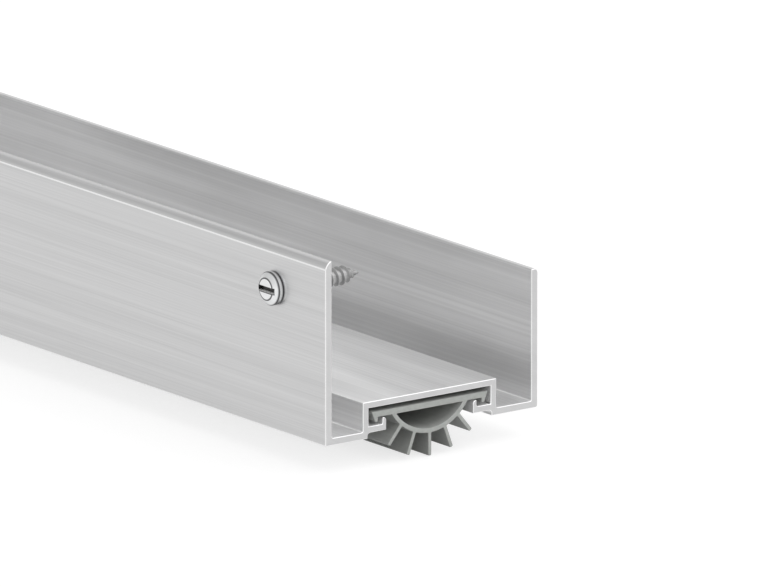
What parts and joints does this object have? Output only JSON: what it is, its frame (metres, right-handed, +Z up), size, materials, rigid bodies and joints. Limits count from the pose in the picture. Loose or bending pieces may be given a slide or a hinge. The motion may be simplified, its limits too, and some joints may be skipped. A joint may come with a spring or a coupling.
{
  "type": "door shoe",
  "caption": "Extruded aluminium door shoe with a finned bulb sweep sliding in its slot and screws through one leg.",
  "frame": {"origin": "on top of the raised channel, where the door's edge rests, in the middle of the length and half way between the legs' inner faces", "axes": "+X along the shoe's length, -Y towards the tall leg with the screws, +Z up from the seat"},
  "size_m": [0.9144, 0.0492, 0.0392],
  "materials": {
    "aluminium": "satin, brushed along the length",
    "vinyl": "matte grey vinyl",
    "zinc_steel": "bright zinc plating"
  },
  "bodies": {
    "shoe": {"shoe": "aluminium", "screw_1": "zinc_steel", "screw_2": "zinc_steel", "screw_3": "zinc_steel", "screw_4": "zinc_steel", "screw_5": "zinc_steel", "screw_6": "zinc_steel", "screw_7": "zinc_steel"},
    "insert": {"insert": "vinyl"}
  },
  "joints": [
    {"name": "insert_slide", "type": "slide", "parent": "shoe", "child": "insert", "axis": [1, 0, 0], "range_m": [-0.9144, 0.9144]}
  ]
}
